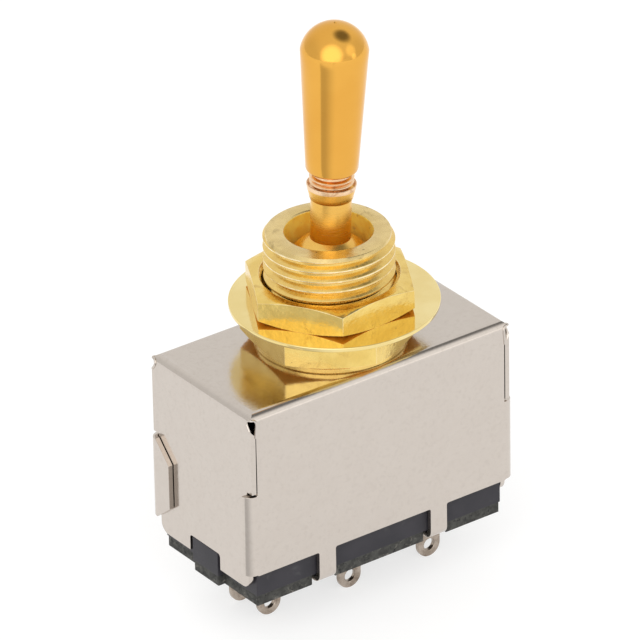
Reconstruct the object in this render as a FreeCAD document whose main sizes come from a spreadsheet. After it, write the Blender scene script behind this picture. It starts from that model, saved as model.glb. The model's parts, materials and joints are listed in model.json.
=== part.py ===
import FreeCAD, Part
import Sketcher
import math
import os

# Guitar pickup selector switch: a three-way toggle in a folded box cover.
# Millimetres. The origin is under the bushing axis, level with the tips of the solder lugs.
# +Z runs up the bushing axis, +X along the long side of the box.

os.makedirs("parts", exist_ok=True)
doc = FreeCAD.newDocument("selector_switch")

# Driving dimensions
SIZES = {
    # folded cover
    "box_length": 29.0,
    "box_width": 15.2,
    "sheet_gauge": 0.5,
    "cover_bend": 0.9,
    "side_drop": 16.5,
    "end_drop": 18.1,
    "fold_gap": 0.05,
    "seam_gap": 0.08,
    "wrap_drop": 8.25,
    "wrap_rise": 0.1,
    "wrap_reach": 2.95,
    "wrap_slant_top": 2.05,
    "wrap_slant_low": 1.6,
    "wrap_bend": 0.95,
    "end_inset": 0.8,
    "end_corner": 1.0,
    "relief_radius": 0.42,
    "relief_top": 0.45,
    "relief_drop": 2.1,
    "relief_tail": 0.35,
    "notch_width": 4.6,
    "notch_corner": 0.3,
    "leg_pitch": 12.6,
    "leg_width": 1.87,
    "leg_bend": 0.9,
    "leg_fold": 1.5,
    "leg_root": 0.2,
    # bushing and its hardware
    "spigot_radius": 5.0,
    "stake_radius": 5.6,
    "stake_height": 0.6,
    "flange_radius": 7.0,
    "flange_height": 0.6,
    "thread_radius": 6.0,
    "thread_height": 10.4,
    "rim_chamfer": 0.3,
    "throat_radius": 4.0,
    "throat_chamfer": 0.15,
    "throat_slope": 15.0,
    "nut_flats": 14.2,
    "nut_play": 0.05,
    "nut_chamfer": 0.35,
    "crown_angle": 21.0,
    "lower_nut_height": 3.05,
    "lower_nut_turn": 23.5,
    "upper_nut_height": 2.62,
    "upper_nut_turn": 1.8,
    "washer_radius": 9.6,
    "washer_gauge": 0.4,
    "washer_play": 0.5,
    "washer_gap": 0.1,
    "washer_drift": -36.0,
    # lever
    "ball_radius": 4.25,
    "ball_play": 0.05,
    "ball_band_top": 31.0,
    "ball_band_low": 46.0,
    "ball_rise": 6.4,
    "arm_reach": 17.6,
    "rest_lean": 2.6,
    "arm_radius": 1.6,
    "tip_ball_radius": 1.25,
    "tip_band": 20.0,
    "tip_neck_radius": 0.8,
    "tip_neck_length": 2.6,
    "shaft_radius": 1.86,
    "shaft_height": 7.74,
    "collar_low_radius": 1.94,
    "collar_radius": 2.23,
    "collar_taper": 0.5,
    "collar_height": 1.33,
    "neck_radius": 1.75,
    "neck_ring_radius": 2.1,
    "neck_height": 1.38,
    "spindle_radius": 1.5,
    "spindle_length": 7.0,
    "screw_play": 0.03,
    "knob_height": 14.48,
    "knob_low_radius": 2.39,
    "knob_radius": 3.09,
    "knob_dome": 2.56,
    "knob_chamfer": 0.3,
    "knob_dimple": 0.3,
    "bore_spare": 0.6,
    # seat ring under the ball
    "seat_radius": 3.35,
    "seat_wall_top": 0.35,
    "seat_low": 2.3,
    "seat_slope": 30.0,
    "press_play": 0.02,
    # moulded base
    "base_show": 2.48,
    "base_end_play": 0.2,
    "base_side_play": 0.1,
    "floor_gauge": 4.0,
    "wall_height": 7.2,
    "tray_width": 10.4,
    "end_wall_gauge": 1.3,
    "ledge_width": 0.6,
    "tongue_width": 3.9,
    "land_height": 0.32,
    "slot_play": 0.05,
    # fibre board
    "board_gauge": 1.07,
    "board_inset": 0.1,
    "board_notch_play": 0.35,
    # terminals
    "lug_reach": 5.15,
    "lug_margin": 2.15,
    "lug_row": 2.1,
    "lug_width": 2.5,
    "short_lug": 0.5,
    "lug_gauge": 0.5,
    "eye_radius": 0.58,
    "pad_reach": 2.4,
    "pad_inward": 1.35,
    "lug_bend": 0.2,
    # slider and contacts
    "slider_margin": 0.21,
    "slider_height": 3.7,
    "slider_play": 0.1,
    "slider_lift": 0.2,
    "boss_length": 5.2,
    "boss_width": 5.0,
    "boss_height": 1.0,
    "socket_play": 0.05,
    "socket_width": 3.4,
    "socket_floor": 0.5,
    "bridge_inset": 0.7,
    "bridge_width": 1.8,
    "bridge_gauge": 0.4,
    "bridge_play": 0.1,
    "bridge_gap": 0.5,
    "bridge_ramp": 0.5,
    "bow_length": 10.0,
    "bow_width": 1.5,
    "bow_gauge": 0.15,
    # detent
    "detent_step": 3.69,
    "detent_width": 1.6,
    "detent_gauge": 0.25,
    "detent_row": 3.9,
    "detent_depth": 0.45,
    "detent_half": 0.9,
    "detent_lift": 0.12,
    "detent_foot": 0.6,
    "detent_ledge": 1.2,
    "detent_end": 0.9,
    "detent_end_play": 0.05,
    "detent_side_play": 0.2,
}

sheet = doc.addObject("Spreadsheet::Sheet", "dim")
for number, (alias, size) in enumerate(SIZES.items(), start=1):
    sheet.set("A%d" % number, alias)
    sheet.set("B%d" % number, str(size))
    sheet.setAlias("B%d" % number, alias)
doc.recompute()

# Levels above the lug tips
BOARD_TOP = "(dim.lug_reach + dim.board_gauge)"
SIDE_LOW = "(%s + dim.base_show)" % BOARD_TOP
PLATE_TOP = "(%s + dim.side_drop)" % SIDE_LOW
PLATE_LOW = "(%s - dim.sheet_gauge)" % PLATE_TOP
END_LOW = "(%s - dim.end_drop)" % PLATE_TOP
WRAP_TOP = "(%s - dim.wrap_drop)" % PLATE_TOP
WRAP_LOW = "(%s + dim.wrap_rise)" % SIDE_LOW
TAB_FACE = "(dim.box_length / 2 + dim.fold_gap + dim.sheet_gauge)"
FLOOR = "(%s + dim.floor_gauge)" % BOARD_TOP
WALL_TOP = "(%s + dim.wall_height)" % FLOOR
PAD_TOP = "(%s + dim.lug_gauge)" % FLOOR
SLIDER_LOW = "(%s + dim.slider_lift)" % PAD_TOP
SLIDER_TOP = "(%s + dim.slider_height)" % SLIDER_LOW
BRIDGE_TOP = "(%s + dim.bridge_gauge)" % PAD_TOP
GROOVE_TOP = "(%s + dim.bridge_gap)" % BRIDGE_TOP
FLANGE_TOP = "(%s + dim.flange_height)" % PLATE_TOP
RIM = "(%s + dim.thread_height)" % FLANGE_TOP
LOWER_NUT_TOP = "(%s + dim.lower_nut_height)" % FLANGE_TOP
WASHER_TOP = "(%s + dim.washer_gauge)" % LOWER_NUT_TOP
STAKE_LOW = "(%s - dim.stake_height)" % PLATE_LOW
PIVOT = "(%s + dim.ball_rise)" % PLATE_TOP
TIP_BALL = "(%s - dim.arm_reach)" % PIVOT
CHAMBER = "(dim.ball_radius + dim.ball_play)"
COLLAR_LOW = "(%s + dim.shaft_height)" % PIVOT
NECK_LOW = "(%s + dim.collar_height)" % COLLAR_LOW
KNOB_LOW = "(%s + dim.neck_height)" % NECK_LOW
SPINDLE_TOP = "(%s + dim.spindle_length)" % KNOB_LOW

# Half sizes of the base inside the cover, and rows and rests shared by pieces that meet
BASE_X = "(dim.box_length / 2 - dim.sheet_gauge - dim.base_end_play)"
BASE_Y = "(dim.box_width / 2 - dim.sheet_gauge - dim.base_side_play)"
TRAY_X = "(%s - dim.end_wall_gauge)" % BASE_X
TRAY_Y = "(dim.tray_width / 2)"
LUG_PITCH = "(%s - dim.lug_width / 2 - dim.lug_margin)" % TRAY_X
SLIDER_X = "(%s - dim.detent_step - dim.slider_margin)" % TRAY_X
BRIDGE_X = "(%s - dim.bridge_inset)" % SLIDER_X
LEAN_SHIFT = "(dim.arm_reach * sin(dim.rest_lean))"
BRIDGE_ROW = "(dim.lug_row + dim.pad_reach / 2)"
DETENT_REST = "(%s - dim.detent_ledge)" % WALL_TOP

# How far a cut starts outside the metal
PAST = "1"


def value(text):
    """Number that a size or a sum of sizes comes to."""
    return float(sheet.evalExpression(str(text)))


def new_body(label):
    body = doc.addObject("PartDesign::Body", label)
    body.Label = label
    return body


def origin_plane(body, role):
    return next(item for item in body.Origin.OriginFeatures if item.Role == role)


class Outline:
    """Closed outlines on one plane, each corner held by its two distances from the origin."""

    def __init__(self, body, role, name, offset=None, turn=None):
        self.sketch = body.newObject("Sketcher::SketchObject", name)
        self.sketch.AttachmentSupport = [(origin_plane(body, role), "")]
        self.sketch.MapMode = "FlatFace"
        if turn:
            axis, degrees = turn
            rotation = FreeCAD.Rotation(FreeCAD.Vector(*axis), degrees)
            self.sketch.AttachmentOffset = FreeCAD.Placement(FreeCAD.Vector(), rotation)
        for direction, text in (offset or {}).items():
            self.sketch.setExpression("AttachmentOffset.Base." + direction, text)

    def hold(self, kind, geometry, corner, text):
        row = self.sketch.addConstraint(
            Sketcher.Constraint(kind, -1, 1, geometry, corner, value(text)))
        self.name(row, text)

    def name(self, row, text):
        alias = "size_%d" % row
        self.sketch.renameConstraint(row, alias)
        self.sketch.setExpression("Constraints." + alias, str(text))

    def loop(self, corners):
        """Each corner is (x, y), or (x, y, radius, side) where an arc leads on to the next corner.

        Side is +1 where the arc turns left and -1 where it turns right.
        """
        first = self.sketch.GeometryCount
        spots = [(value(corner[0]), value(corner[1])) for corner in corners]
        count = len(corners)
        for index, corner in enumerate(corners):
            start = FreeCAD.Vector(*spots[index], 0)
            end = FreeCAD.Vector(*spots[(index + 1) % count], 0)
            if len(corner) == 2:
                self.sketch.addGeometry(Part.LineSegment(start, end), False)
            else:
                self.sketch.addGeometry(arc_between(start, end, value(corner[2]), corner[3]), False)
        for index, corner in enumerate(corners):
            edge, after = first + index, first + (index + 1) % count
            self.sketch.addConstraint(Sketcher.Constraint(
                "Coincident", edge, self.tail(corners[index]),
                after, self.head(corners[(index + 1) % count])))
            self.hold("DistanceX", edge, self.head(corner), corner[0])
            self.hold("DistanceY", edge, self.head(corner), corner[1])
            if len(corner) > 2:
                row = self.sketch.addConstraint(Sketcher.Constraint("Radius", edge, value(corner[2])))
                self.name(row, corner[2])
        return self

    @staticmethod
    def head(corner):
        """An arc runs anticlockwise, so one that turns right is drawn from its far end."""
        return 2 if len(corner) > 2 and corner[3] < 0 else 1

    @staticmethod
    def tail(corner):
        return 1 if len(corner) > 2 and corner[3] < 0 else 2

    def box(self, low_x, low_y, high_x, high_y):
        return self.loop([(low_x, low_y), (high_x, low_y), (high_x, high_y), (low_x, high_y)])

    def circle(self, x, y, radius):
        row = self.sketch.addGeometry(
            Part.Circle(FreeCAD.Vector(value(x), value(y), 0), FreeCAD.Vector(0, 0, 1), value(radius)), False)
        self.hold("DistanceX", row, 3, x)
        self.hold("DistanceY", row, 3, y)
        self.name(self.sketch.addConstraint(Sketcher.Constraint("Radius", row, value(radius))), radius)
        return self


def arc_between(start, end, radius, side):
    """Arc of the given radius, shorter than a half turn, from start to end."""
    chord = end - start
    middle = (start + end) * 0.5
    left = FreeCAD.Vector(-chord.y, chord.x, 0).normalize()
    rise = math.sqrt(max(radius ** 2 - (chord.Length / 2) ** 2, 0))
    centre = middle + left * (rise * side)
    if side < 0:
        start, end = end, start
    angles = [math.atan2(point.y - centre.y, point.x - centre.x) for point in (start, end)]
    if angles[1] < angles[0]:
        angles[1] += 2 * math.pi
    circle = Part.Circle(centre, FreeCAD.Vector(0, 0, 1), radius)
    return Part.ArcOfCircle(circle, angles[0], angles[1])


def feature(body, kind, name, outline, length=None, both_ways=False, reverse=False):
    """Solid or cut of an outline's depth; with no length the cut goes right through."""
    made = body.newObject("PartDesign::" + kind, name)
    made.Profile = outline.sketch
    if both_ways:
        made.SideType = "Symmetric"
    if length:
        made.setExpression("Length", length)
    else:
        made.Type = "ThroughAll"
    made.Reversed = reverse
    outline.sketch.Visibility = False
    doc.recompute()
    return made


def turned(body, name, outline, kind="Revolution"):
    """Outline beside the bushing axis, turned about it."""
    made = body.newObject("PartDesign::" + kind, name)
    made.Profile = outline.sketch
    made.ReferenceAxis = (outline.sketch, ["V_Axis"])
    made.Angle = 360
    doc.recompute()
    return made


def edges_where(shape, test):
    return ["Edge%d" % (number + 1) for number, edge in enumerate(shape.Edges)
            if test(edge.BoundBox)]


def rounded(body, name, base, edges, radius):
    made = body.newObject("PartDesign::Fillet", name)
    made.Base = (base, edges)
    made.setExpression("Radius", radius)
    doc.recompute()
    return made


def in_four_corners(body, name, features):
    """Repeats what was made at one corner across the box's two middle planes."""
    made = body.newObject("PartDesign::MultiTransform", name)
    across = [doc.addObject("PartDesign::Mirrored", name + tag) for tag in ("_length", "_width")]
    made.Originals = features
    made.Transformations = across
    for mirror, role in zip(across, ("YZ_Plane", "XZ_Plane")):
        mirror.MirrorPlane = (origin_plane(body, role), [""])
    body.Tip = made
    doc.recompute()
    return made


def near(number, target):
    return abs(number - target) < 0.001


# Folded cover
def make_cover():
    body = new_body("cover")
    half_x, half_y = "dim.box_length / 2", "dim.box_width / 2"
    blank = Outline(body, "XY_Plane", "cover_plan", {"z": END_LOW})
    blank.box("-" + half_x, "-" + half_y, half_x, half_y)
    block = feature(body, "Pad", "cover_block", blank, "dim.end_drop")
    top = value(PLATE_TOP)
    bends = rounded(body, "top_bends", block,
                    edges_where(block.Shape, lambda b: near(b.ZMin, top)), "dim.cover_bend")
    shell = body.newObject("PartDesign::Thickness", "cover_shell")
    low = value(END_LOW)
    shell.Base = (bends, ["Face%d" % (number + 1) for number, face in enumerate(bends.Shape.Faces)
                          if near(face.CenterOfMass.z, low)])
    shell.setExpression("Value", "dim.sheet_gauge")
    shell.Reversed = True
    doc.recompute()

    hole = Outline(body, "XY_Plane", "bushing_hole_plan", {"z": PLATE_TOP})
    hole.circle("0", "0", "dim.spigot_radius")
    feature(body, "Pocket", "bushing_hole", hole, "2 * dim.sheet_gauge")

    notch = Outline(body, "YZ_Plane", "end_notch_outline")
    notch.box("-dim.notch_width / 2", "%s - %s" % (END_LOW, PAST), "dim.notch_width / 2", SIDE_LOW)
    feature(body, "Pocket", "end_notch", notch, "2 * dim.box_length", both_ways=True)

    # The rest is drawn at the front left corner and repeated in the other three.
    corner_features = []
    trim = Outline(body, "XZ_Plane", "side_trim_outline", {"z": half_y})
    trim.box("-%s - %s" % (half_x, PAST), "%s - %s" % (END_LOW, PAST), "0", SIDE_LOW)
    corner_features.append(feature(body, "Pocket", "side_trim", trim, "dim.end_inset"))

    edge = Outline(body, "XY_Plane", "end_edge_plan", {"z": WRAP_TOP + " + dim.sheet_gauge / 2"})
    edge.box("-%s - %s" % (half_x, PAST), "-%s - %s" % (half_y, PAST),
             "-%s + dim.sheet_gauge" % half_x, "-%s + dim.end_inset" % half_y)
    corner_features.append(feature(body, "Pocket", "end_edge", edge,
                                   "%s - %s + %s" % (WRAP_TOP, SIDE_LOW, PAST)))

    relief_z = "(%s - dim.relief_top - dim.relief_radius)" % PLATE_TOP
    seam = Outline(body, "XZ_Plane", "seam_outline", {"z": half_y})
    seam.box("-%s + dim.sheet_gauge" % half_x, WRAP_TOP,
             "-%s + dim.sheet_gauge + dim.seam_gap" % half_x, relief_z)
    corner_features.append(feature(body, "Pocket", "seam", seam, "dim.sheet_gauge"))

    relief = Outline(body, "XZ_Plane", "relief_outline", turn=((0, 1, 0), -45))
    relief.sketch.setExpression("AttachmentOffset.Base.x", "-" + half_x)
    relief.sketch.setExpression("AttachmentOffset.Base.z", half_y)
    relief.loop([("-dim.relief_radius", relief_z), ("dim.relief_tail", "%s - dim.relief_drop" % PLATE_TOP),
                 ("dim.relief_radius", relief_z, "dim.relief_radius", 1),
                 ("0", relief_z + " + dim.relief_radius", "dim.relief_radius", 1)])
    corner_features.append(feature(body, "Pocket", "relief", relief,
                                   "3 * dim.cover_bend", both_ways=True))

    wrap = Outline(body, "XY_Plane", "wrap_plan", {"z": WRAP_LOW})
    tab_in = "(%s - dim.sheet_gauge)" % TAB_FACE
    bend_x = "(%s - dim.wrap_bend)" % TAB_FACE
    bend_y = "(%s - dim.wrap_bend)" % half_y
    root = "(%s - dim.sheet_gauge)" % half_x
    inner = "(dim.wrap_bend - dim.sheet_gauge)"
    wrap.loop([
        ("-" + root, "-" + half_y),
        ("-" + root, "-%s + dim.sheet_gauge" % half_y),
        ("-" + bend_x, "-%s + dim.sheet_gauge" % half_y, inner, -1),
        ("-" + tab_in, "-" + bend_y),
        ("-" + tab_in, "-%s + dim.wrap_reach" % half_y),
        ("-" + TAB_FACE, "-%s + dim.wrap_reach" % half_y),
        ("-" + TAB_FACE, "-" + bend_y, "dim.wrap_bend", 1),
        ("-" + bend_x, "-" + half_y),
    ])
    corner_features.append(feature(body, "Pad", "wrap", wrap, "%s - %s" % (WRAP_TOP, WRAP_LOW)))

    slant = Outline(body, "YZ_Plane", "wrap_slant_outline", {"z": "-" + TAB_FACE})
    tip_y = "(-%s + dim.wrap_reach)" % half_y
    beyond_y = "(%s + %s)" % (tip_y, PAST)
    slant_top = WRAP_TOP + " - dim.wrap_slant_top"
    slant_low = WRAP_LOW + " + dim.wrap_slant_low"
    over, under = "%s + %s" % (WRAP_TOP, PAST), "%s - %s" % (WRAP_LOW, PAST)
    slant.loop([("-" + bend_y, WRAP_TOP), (tip_y, slant_top), (beyond_y, slant_top), (beyond_y, over),
                ("-" + bend_y, over)])
    slant.loop([("-" + bend_y, WRAP_LOW), ("-" + bend_y, under), (beyond_y, under),
                (beyond_y, slant_low), (tip_y, slant_low)])
    corner_features.append(feature(body, "Pocket", "wrap_slant", slant,
                                   "dim.sheet_gauge + dim.fold_gap", reverse=True))

    leg = Outline(body, "YZ_Plane", "leg_outline", {"z": "-dim.leg_pitch / 2"})
    fold_low = "(%s - dim.land_height - dim.sheet_gauge)" % BOARD_TOP
    leg_in = "(%s - dim.sheet_gauge)" % half_y
    fold_y = "(%s - dim.leg_bend)" % half_y
    fold_z = "(%s + dim.leg_bend)" % fold_low
    fold_top = "(%s + dim.sheet_gauge)" % fold_low
    leg.loop([
        ("-" + half_y, SIDE_LOW),
        ("-" + half_y, fold_z, "dim.leg_bend", 1),
        ("-" + fold_y, fold_low),
        ("-%s + dim.leg_fold" % fold_y, fold_low),
        ("-%s + dim.leg_fold" % fold_y, fold_top),
        ("-" + fold_y, fold_top, "dim.leg_bend - dim.sheet_gauge", -1),
        ("-" + leg_in, fold_z),
        ("-" + leg_in, SIDE_LOW),
    ])
    corner_features.append(feature(body, "Pad", "leg", leg, "dim.leg_width", both_ways=True))
    repeated = in_four_corners(body, "cover_corners", corner_features)

    wide = value("dim.box_length / 2 - dim.sheet_gauge")
    deep = value("dim.box_width / 2 - dim.end_inset")
    ends = rounded(body, "end_corners", repeated, edges_where(repeated.Shape, lambda b: (
        near(b.ZMin, low) and near(b.ZMax, low) and near(abs(b.YMin), deep) and near(b.YLength, 0)
        and abs(b.Center.x) > wide)), "dim.end_corner")
    slot_y, slot_z = value("dim.notch_width / 2"), value(SIDE_LOW)
    notched = rounded(body, "notch_corners", ends, edges_where(ends.Shape, lambda b: (
        near(b.ZMin, slot_z) and near(b.ZMax, slot_z) and near(abs(b.YMin), slot_y)
        and near(b.YLength, 0) and abs(b.Center.x) > wide)), "dim.notch_corner")
    root_x = [value("dim.leg_pitch / 2 %s dim.leg_width / 2" % sign) for sign in "+-"]
    rounded(body, "leg_roots", notched, edges_where(notched.Shape, lambda b: (
        near(b.ZMin, slot_z) and near(b.ZMax, slot_z) and near(b.XLength, 0)
        and any(near(abs(b.XMin), x) for x in root_x))), "dim.leg_root")
    return body


# Threaded bushing, staked under the plate
def make_bushing():
    body = new_body("bushing")
    throat_top = RIM + " - dim.throat_chamfer"
    # The lever's ball bears on a cone under the throat.
    cone_top = "%s + (%s - dim.throat_radius * cos(dim.throat_slope)) / sin(dim.throat_slope)" % (
        PIVOT, CHAMBER)
    cone_low = "%s + %s * tan(dim.throat_slope / 2)" % (PIVOT, CHAMBER)
    profile = Outline(body, "XZ_Plane", "bushing_profile")
    profile.loop([
        (CHAMBER, STAKE_LOW),
        ("dim.spigot_radius", STAKE_LOW),
        ("dim.stake_radius", PLATE_LOW),
        ("dim.spigot_radius", PLATE_LOW),
        ("dim.spigot_radius", PLATE_TOP),
        ("dim.flange_radius", PLATE_TOP),
        ("dim.flange_radius", FLANGE_TOP),
        ("dim.thread_radius", FLANGE_TOP),
        ("dim.thread_radius", RIM + " - dim.rim_chamfer"),
        ("dim.thread_radius - dim.rim_chamfer", RIM),
        ("dim.throat_radius + dim.throat_chamfer", RIM),
        ("dim.throat_radius", throat_top),
        ("dim.throat_radius", cone_top),
        (CHAMBER, cone_low),
    ])
    turned(body, "bushing_turned", profile)
    return body


# Hexagon nuts
def make_nut(label, low, height, turn):
    body = new_body(label)
    corner = "dim.nut_flats / sqrt(3)"
    half = "%s / 2" % corner
    flat = "dim.nut_flats / 2"
    hexagon = Outline(body, "XY_Plane", label + "_plan", {"z": low})
    hexagon.loop([(corner, "0"), (half, flat), ("-" + half, flat),
                  ("-" + corner, "0"), ("-" + half, "-" + flat), (half, "-" + flat)])
    feature(body, "Pad", label + "_block", hexagon, height)
    bore = Outline(body, "XZ_Plane", label + "_bore_profile")
    wall = "dim.thread_radius + dim.nut_play"
    sunk = "%s + dim.nut_chamfer" % wall
    top = "%s + %s" % (low, height)
    under, over = "%s - %s" % (low, PAST), "%s + %s" % (top, PAST)
    bore.loop([("0", under), (wall, under), (wall, top + " - dim.nut_chamfer"),
               (sunk, top), (sunk, over), ("0", over)])
    turned(body, label + "_bore", bore, "Groove")
    crowns = Outline(body, "XZ_Plane", label + "_crown_profile")
    reach = "%s + %s" % (corner, PAST)
    fall = "(%s - %s) * tan(dim.crown_angle)" % (reach, flat)
    crowns.loop([(flat, top), (reach, "%s - %s" % (top, fall)), (reach, over), (flat, over)])
    crowns.loop([(flat, low), (flat, under), (reach, under), (reach, "%s + %s" % (low, fall))])
    turned(body, label + "_crowns", crowns, "Groove")
    body.setExpression("Placement.Rotation.Angle", turn)
    return body


# Flat washer between the nuts, pushed off centre in its wide bore
def make_washer():
    body = new_body("washer")
    profile = Outline(body, "XZ_Plane", "washer_profile")
    bore = "dim.thread_radius + dim.washer_play"
    profile.box(bore, LOWER_NUT_TOP, "dim.washer_radius", WASHER_TOP)
    turned(body, "washer_turned", profile)
    for direction, share in (("x", "cos"), ("y", "sin")):
        body.setExpression("Placement.Base." + direction,
                           "(dim.washer_play - dim.washer_gap) * %s(dim.washer_drift)" % share)
    return body


def lean_about_pivot(body):
    """Leans a piece as the lever leans in its middle position."""
    body.Placement.Rotation = FreeCAD.Rotation(FreeCAD.Vector(0, 1, 0), 1)
    body.setExpression("Placement.Rotation.Angle", "dim.rest_lean")
    body.setExpression("Placement.Base.x", "-%s * sin(dim.rest_lean)" % PIVOT)
    body.setExpression("Placement.Base.z", "%s * (1 - cos(dim.rest_lean))" % PIVOT)


# Turned lever: tip ball, lower arm, pivot ball, shaft, collar, ringed neck and spindle
def make_lever():
    body = new_body("lever")
    profile = Outline(body, "XZ_Plane", "lever_profile")
    ball, tip = "dim.ball_radius", "dim.tip_ball_radius"
    neck = "dim.tip_neck_radius"
    arm_low = "(%s + dim.tip_neck_length)" % TIP_BALL
    # Two rings stand in the neck's five equal bands.
    band = "dim.neck_height / 5"
    # Each ball is round where it bears and coned beyond that, by latitude.
    cap = "sqrt(%s ^ 2 - %s ^ 2)" % (tip, neck)
    tip_edge, tip_lift = tip + " * cos(dim.tip_band)", tip + " * sin(dim.tip_band)"
    corners = [
        ("0", "%s - %s" % (TIP_BALL, cap)),
        (neck, "%s - %s" % (TIP_BALL, cap)),
        (tip_edge, "%s - %s" % (TIP_BALL, tip_lift), tip, 1),
        (tip_edge, "%s + %s" % (TIP_BALL, tip_lift)),
        (neck, "%s + %s" % (TIP_BALL, cap)),
        (neck, arm_low + " - dim.arm_radius + " + neck),
        ("dim.arm_radius", arm_low),
        ("dim.arm_radius", "%s - sqrt(%s ^ 2 - dim.arm_radius ^ 2)" % (PIVOT, ball)),
        (ball + " * cos(dim.ball_band_low)", "%s - %s * sin(dim.ball_band_low)" % (PIVOT, ball), ball, 1),
        (ball + " * cos(dim.ball_band_top)", "%s + %s * sin(dim.ball_band_top)" % (PIVOT, ball)),
        ("dim.shaft_radius", "%s + sqrt(%s ^ 2 - dim.shaft_radius ^ 2)" % (PIVOT, ball)),
        ("dim.shaft_radius", COLLAR_LOW),
        ("dim.collar_low_radius", COLLAR_LOW),
        ("dim.collar_radius", COLLAR_LOW + " + dim.collar_taper"),
        ("dim.collar_radius", NECK_LOW),
        ("dim.neck_radius", NECK_LOW),
    ]
    for step in (1, 3):
        low = "%s + %d * %s" % (NECK_LOW, step, band)
        corners += [
            ("dim.neck_radius", "%s - %s / 2" % (low, band)),
            ("dim.neck_ring_radius", "%s + %s / 4" % (low, band)),
            ("dim.neck_radius", "%s + %s" % (low, band)),
        ]
    corners += [
        ("dim.neck_radius", KNOB_LOW),
        ("dim.spindle_radius", KNOB_LOW),
        ("dim.spindle_radius", SPINDLE_TOP),
        ("0", SPINDLE_TOP),
    ]
    profile.loop(corners)
    turned(body, "lever_turned", profile)
    lean_about_pivot(body)
    return body


# Gold tip screwed on the spindle
def make_lever_tip():
    body = new_body("lever_tip")
    profile = Outline(body, "XZ_Plane", "lever_tip_profile")
    dome_low = "(%s + dim.knob_height - dim.knob_dome)" % KNOB_LOW
    apex = "(%s + dim.knob_height)" % KNOB_LOW
    dome = "((dim.knob_radius ^ 2 + dim.knob_dome ^ 2) / (2 * dim.knob_dome))"
    dimple_z = "%s - %s + sqrt(%s ^ 2 - dim.knob_dimple ^ 2)" % (apex, dome, dome)
    bore = "dim.spindle_radius + dim.screw_play"
    bore_top = SPINDLE_TOP + " + dim.bore_spare"
    profile.loop([
        (bore, KNOB_LOW),
        ("dim.knob_low_radius - dim.knob_chamfer", KNOB_LOW),
        ("dim.knob_low_radius", KNOB_LOW + " + dim.knob_chamfer"),
        ("dim.knob_radius", dome_low, dome, 1),
        ("dim.knob_dimple", dimple_z),
        ("0", "%s - dim.knob_dimple / 2" % apex),
        ("0", bore_top),
        (bore, bore_top),
    ])
    turned(body, "lever_tip_turned", profile)
    lean_about_pivot(body)
    return body


# Ring pressed in the bushing under the ball
def make_ball_seat():
    body = new_body("ball_seat")
    outer = "(%s - dim.press_play)" % CHAMBER
    lip = "(%s - dim.seat_wall_top)" % outer
    low = "%s + dim.seat_low" % STAKE_LOW
    cone_z = "%s + (%s * cos(dim.seat_slope) - %s) / sin(dim.seat_slope)"
    profile = Outline(body, "XZ_Plane", "ball_seat_profile")
    profile.loop([
        ("dim.seat_radius", low),
        (outer, low),
        (outer, cone_z % (PIVOT, lip, CHAMBER)),
        (lip, cone_z % (PIVOT, lip, CHAMBER)),
        ("dim.seat_radius", cone_z % (PIVOT, "dim.seat_radius", CHAMBER)),
    ])
    turned(body, "ball_seat_turned", profile)
    return body


# Plan shared by the base and the board: a rectangle with a tongue at each end
def tongued_plan(outline, inset):
    half_x = "(%s - %s)" % (BASE_X, inset)
    half_y = "(%s - %s)" % (BASE_Y, inset)
    end_x = "(dim.box_length / 2 - %s)" % inset
    tongue = "(dim.tongue_width / 2 - %s)" % inset
    corners = [(half_x, tongue), (half_x, half_y), ("-" + half_x, half_y), ("-" + half_x, tongue),
               ("-" + end_x, tongue), ("-" + end_x, "-" + tongue), ("-" + half_x, "-" + tongue),
               ("-" + half_x, "-" + half_y), (half_x, "-" + half_y), (half_x, "-" + tongue),
               (end_x, "-" + tongue), (end_x, tongue)]
    return outline.loop(corners)


def terminal_slots(body, name, low, high):
    plan = Outline(body, "XY_Plane", name + "_plan", {"z": high})
    half_x = "(dim.lug_width / 2 + dim.slot_play)"
    half_y = "(dim.lug_gauge / 2 + dim.slot_play)"
    for column in ("-1", "0", "1"):
        for row in ("-1", "1"):
            x = "%s * %s" % (column, LUG_PITCH)
            y = "%s * dim.lug_row" % row
            plan.box("%s - %s" % (x, half_x), "%s - %s" % (y, half_y),
                     "%s + %s" % (x, half_x), "%s + %s" % (y, half_y))
    return feature(body, "Pocket", name, plan, "%s - %s" % (high, low))


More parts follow.
